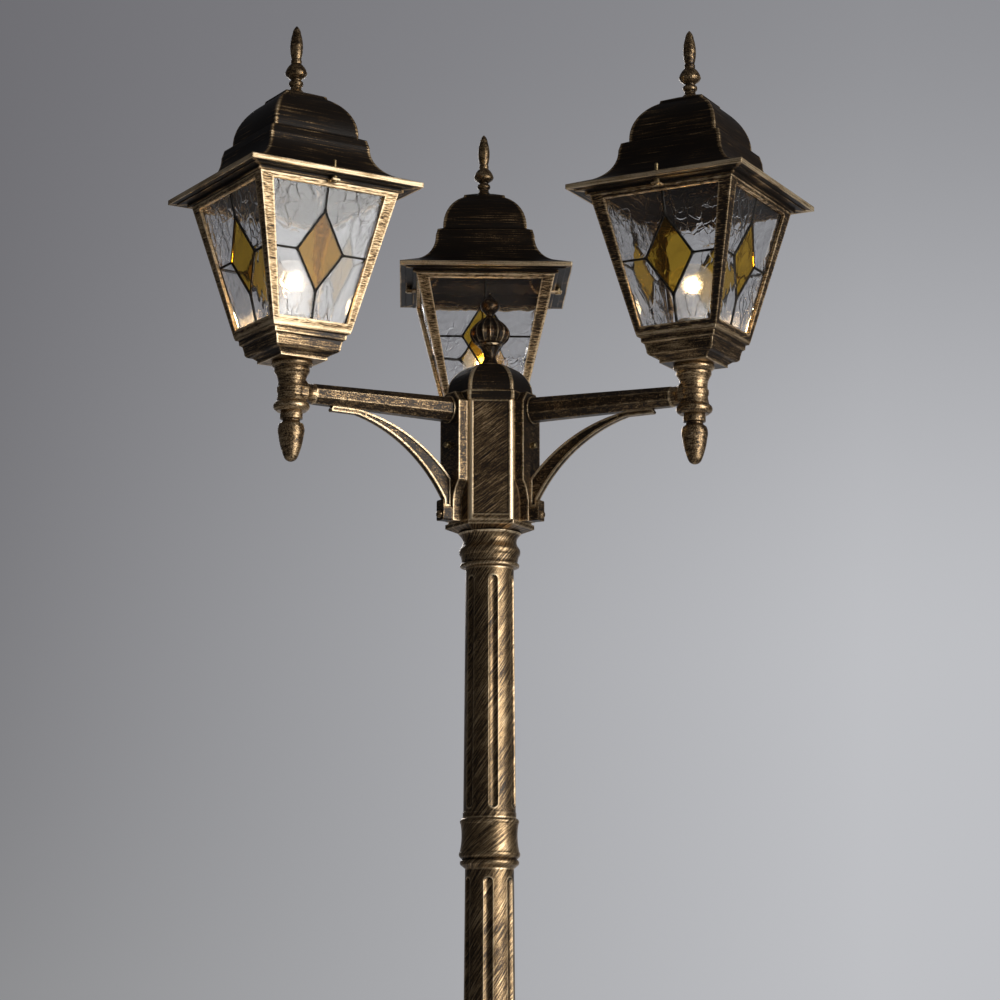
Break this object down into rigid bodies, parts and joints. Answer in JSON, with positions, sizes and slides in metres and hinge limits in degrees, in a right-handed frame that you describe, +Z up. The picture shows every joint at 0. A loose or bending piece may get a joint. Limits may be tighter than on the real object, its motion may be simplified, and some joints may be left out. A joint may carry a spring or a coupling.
{
  "type": "triple head lamp post",
  "caption": "Garden lamp post with three leaded-glass lanterns on braced arms around a six-sided hub, on a fluted sectional pole.",
  "frame": {"origin": "centre of the pole at the ground, on the underside of the base flange", "axes": "+Z up along the pole; one arm points to +Y, the other two to 210 and 330 degrees"},
  "size_m": [0.6252, 0.5414, 2.2131],
  "materials": {
    "bronze": "antique bronze paint with gold rubbed on the raised edges, satin",
    "screw_metal": "aged",
    "cap_metal": "satin",
    "clear_glass": "rippled, clear",
    "amber_glass": "rippled, amber",
    "lead": "dark lead came",
    "holder": "matt",
    "bulb_glass": "frosted"
  },
  "bodies": {
    "post": {"base": "bronze", "pole_tube_1": "bronze", "pole_tube_2": "bronze", "pole_tube_3": "bronze", "pole_tube_4": "bronze", "pole_tube_5": "bronze", "pole_coupling_1": "bronze", "pole_coupling_2": "bronze", "pole_coupling_3": "bronze", "pole_coupling_4": "bronze", "pole_coupling_5": "bronze", "neck": "bronze", "hub_body": "bronze", "hub_cap": "bronze", "hub_finial": "bronze", "arm_screws": "screw_metal", "brace_clips": "bronze", "clip_screws": "screw_metal", "roof_screws": "screw_metal", "bulb_caps": "cap_metal", "arm_left": "bronze", "brace_left": "bronze", "stem_left": "bronze", "drop_finial_left": "bronze", "tray_left": "bronze", "cage_left": "bronze", "glass_clear_left": "clear_glass", "glass_amber_left": "amber_glass", "came_left": "lead", "lampholder_left": "holder", "bulb_left": "bulb_glass", "arm_right": "bronze", "brace_right": "bronze", "stem_right": "bronze", "drop_finial_right": "bronze", "tray_right": "bronze", "cage_right": "bronze", "glass_clear_right": "clear_glass", "glass_amber_right": "amber_glass", "came_right": "lead", "lampholder_right": "holder", "bulb_right": "bulb_glass", "arm_rear": "bronze", "brace_rear": "bronze", "stem_rear": "bronze", "drop_finial_rear": "bronze", "tray_rear": "bronze", "cage_rear": "bronze", "glass_clear_rear": "clear_glass", "glass_amber_rear": "amber_glass", "came_rear": "lead", "lampholder_rear": "holder", "bulb_rear": "bulb_glass"},
    "lantern_roof_left": {"roof_left": "bronze", "roof_finial_left": "bronze"},
    "lantern_roof_right": {"roof_right": "bronze", "roof_finial_right": "bronze"},
    "lantern_roof_rear": {"roof_rear": "bronze", "roof_finial_rear": "bronze"}
  },
  "joints": [
    {"name": "roof_left_lift", "type": "slide", "parent": "post", "child": "lantern_roof_left", "axis": [0, 0, 1], "range_m": [0, 0.12]},
    {"name": "roof_right_lift", "type": "slide", "parent": "post", "child": "lantern_roof_right", "axis": [0, 0, 1], "range_m": [0, 0.12]},
    {"name": "roof_rear_lift", "type": "slide", "parent": "post", "child": "lantern_roof_rear", "axis": [0, 0, 1], "range_m": [0, 0.12]}
  ]
}
